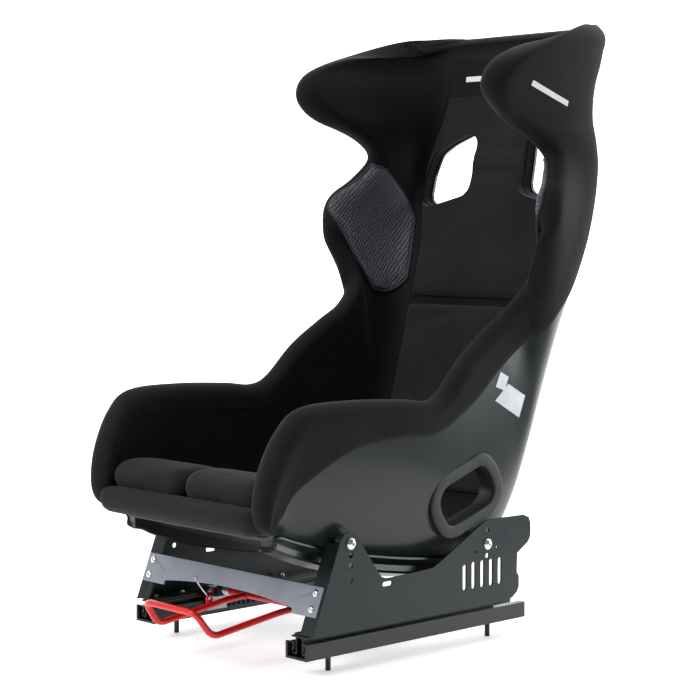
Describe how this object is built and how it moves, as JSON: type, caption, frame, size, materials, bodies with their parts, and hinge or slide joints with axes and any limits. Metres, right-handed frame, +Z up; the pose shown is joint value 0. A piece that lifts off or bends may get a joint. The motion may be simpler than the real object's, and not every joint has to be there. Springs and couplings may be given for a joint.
{
  "type": "racing seat",
  "caption": "Fixed-back bucket seat with head wings, padded cover and harness openings, on side brackets and sliding rails with a pull-up release bar.",
  "frame": {"origin": "centre of the four floor studs, on the underside of the lower rails", "axes": "+Z up, -Y towards the front of the seat, +X towards the sitter's left"},
  "size_m": [0.5322, 0.787, 0.9657],
  "materials": {
    "black_fabric": "velour-like upholstery cover over foam, matt with a soft sheen",
    "charcoal_fabric": "upholstery cover over foam pad, matt",
    "grey_mesh": "grippy rippled pad cover with a piped edge",
    "composite": "glossy gelcoat over a fibre laminate",
    "bracket_steel": "satin black powder coat",
    "rail_steel": "satin black e-coat",
    "brace_grey": "satin grey paint",
    "zinc": "bright zinc plate",
    "red_paint": "glossy red powder coat",
    "rubber": "moulded rubber, semi matt",
    "black_plastic": "moulded end caps",
    "spring_steel": "bright spring steel",
    "lock_steel": "hardened steel, satin",
    "bush_aluminium": "turned aluminium"
  },
  "bodies": {
    "floor_rails": {"lower_rail_left": "rail_steel", "lower_rail_right": "rail_steel", "floor_studs": "lock_steel", "rail_end_caps": "black_plastic"},
    "seat": {"upper_rail_left": "rail_steel", "upper_rail_right": "rail_steel", "side_bracket_left": "bracket_steel", "side_bracket_right": "bracket_steel", "cross_brace": "brace_grey", "brace_bolts": "zinc", "rail_bolts": "zinc", "release_bracket_left": "bracket_steel", "release_bracket_right": "bracket_steel", "release_springs": "spring_steel", "shell": "composite", "foam_liner": "black_fabric", "bolster_left": "black_fabric", "bolster_right": "black_fabric", "head_top_roll": "black_fabric", "front_roll": "charcoal_fabric", "seat_cushion": "charcoal_fabric", "leg_cushion_left": "charcoal_fabric", "leg_cushion_right": "charcoal_fabric", "lower_back_pad": "charcoal_fabric", "upper_back_pad": "charcoal_fabric", "shoulder_pad_left": "grey_mesh", "shoulder_pad_right": "grey_mesh", "lap_belt_grommet_left": "rubber", "lap_belt_grommet_right": "rubber", "crotch_strap_grommet": "rubber", "mount_bushes": "bush_aluminium", "mount_bolts": "zinc"},
    "release_bar": {"release_handle": "red_paint"},
    "latch_left": {"latch_left": "lock_steel"},
    "latch_right": {"latch_right": "lock_steel"},
    "ball_cage_left": {"ball_cage_left": "spring_steel"},
    "ball_cage_right": {"ball_cage_right": "spring_steel"}
  },
  "joints": [
    {"name": "seat_slide", "type": "slide", "parent": "floor_rails", "child": "seat", "axis": [0, 1, 0], "range_m": [-0.08, 0.11]},
    {"name": "release_bar_lift", "type": "hinge", "parent": "seat", "child": "release_bar", "pos_m": [0, -0.119, 0.045], "axis": [-1, 0, 0], "range_deg": [0, 10], "stiffness_Nm_per_rad": 1.5, "springref_deg": -20.05},
    {"name": "latch_left_turn", "type": "hinge", "parent": "seat", "child": "latch_left", "pos_m": [0.1505, -0.11, 0.042], "axis": [0, 1, 0], "range_deg": [0, 12]},
    {"name": "latch_right_turn", "type": "hinge", "parent": "seat", "child": "latch_right", "pos_m": [-0.1505, -0.11, 0.042], "axis": [0, -1, 0], "range_deg": [0, 12]},
    {"name": "ball_cage_left_roll", "type": "slide", "parent": "floor_rails", "child": "ball_cage_left", "axis": [0, 1, 0], "range_m": [-0.045, 0.06]},
    {"name": "ball_cage_right_roll", "type": "slide", "parent": "floor_rails", "child": "ball_cage_right", "axis": [0, 1, 0], "range_m": [-0.045, 0.06]}
  ],
  "couplings": [
    {"joint": "latch_left_turn", "follows": "release_bar_lift", "ratio": 1},
    {"joint": "latch_right_turn", "follows": "release_bar_lift", "ratio": 1},
    {"joint": "ball_cage_left_roll", "follows": "seat_slide", "ratio": 0.5},
    {"joint": "ball_cage_right_roll", "follows": "seat_slide", "ratio": 0.5}
  ]
}
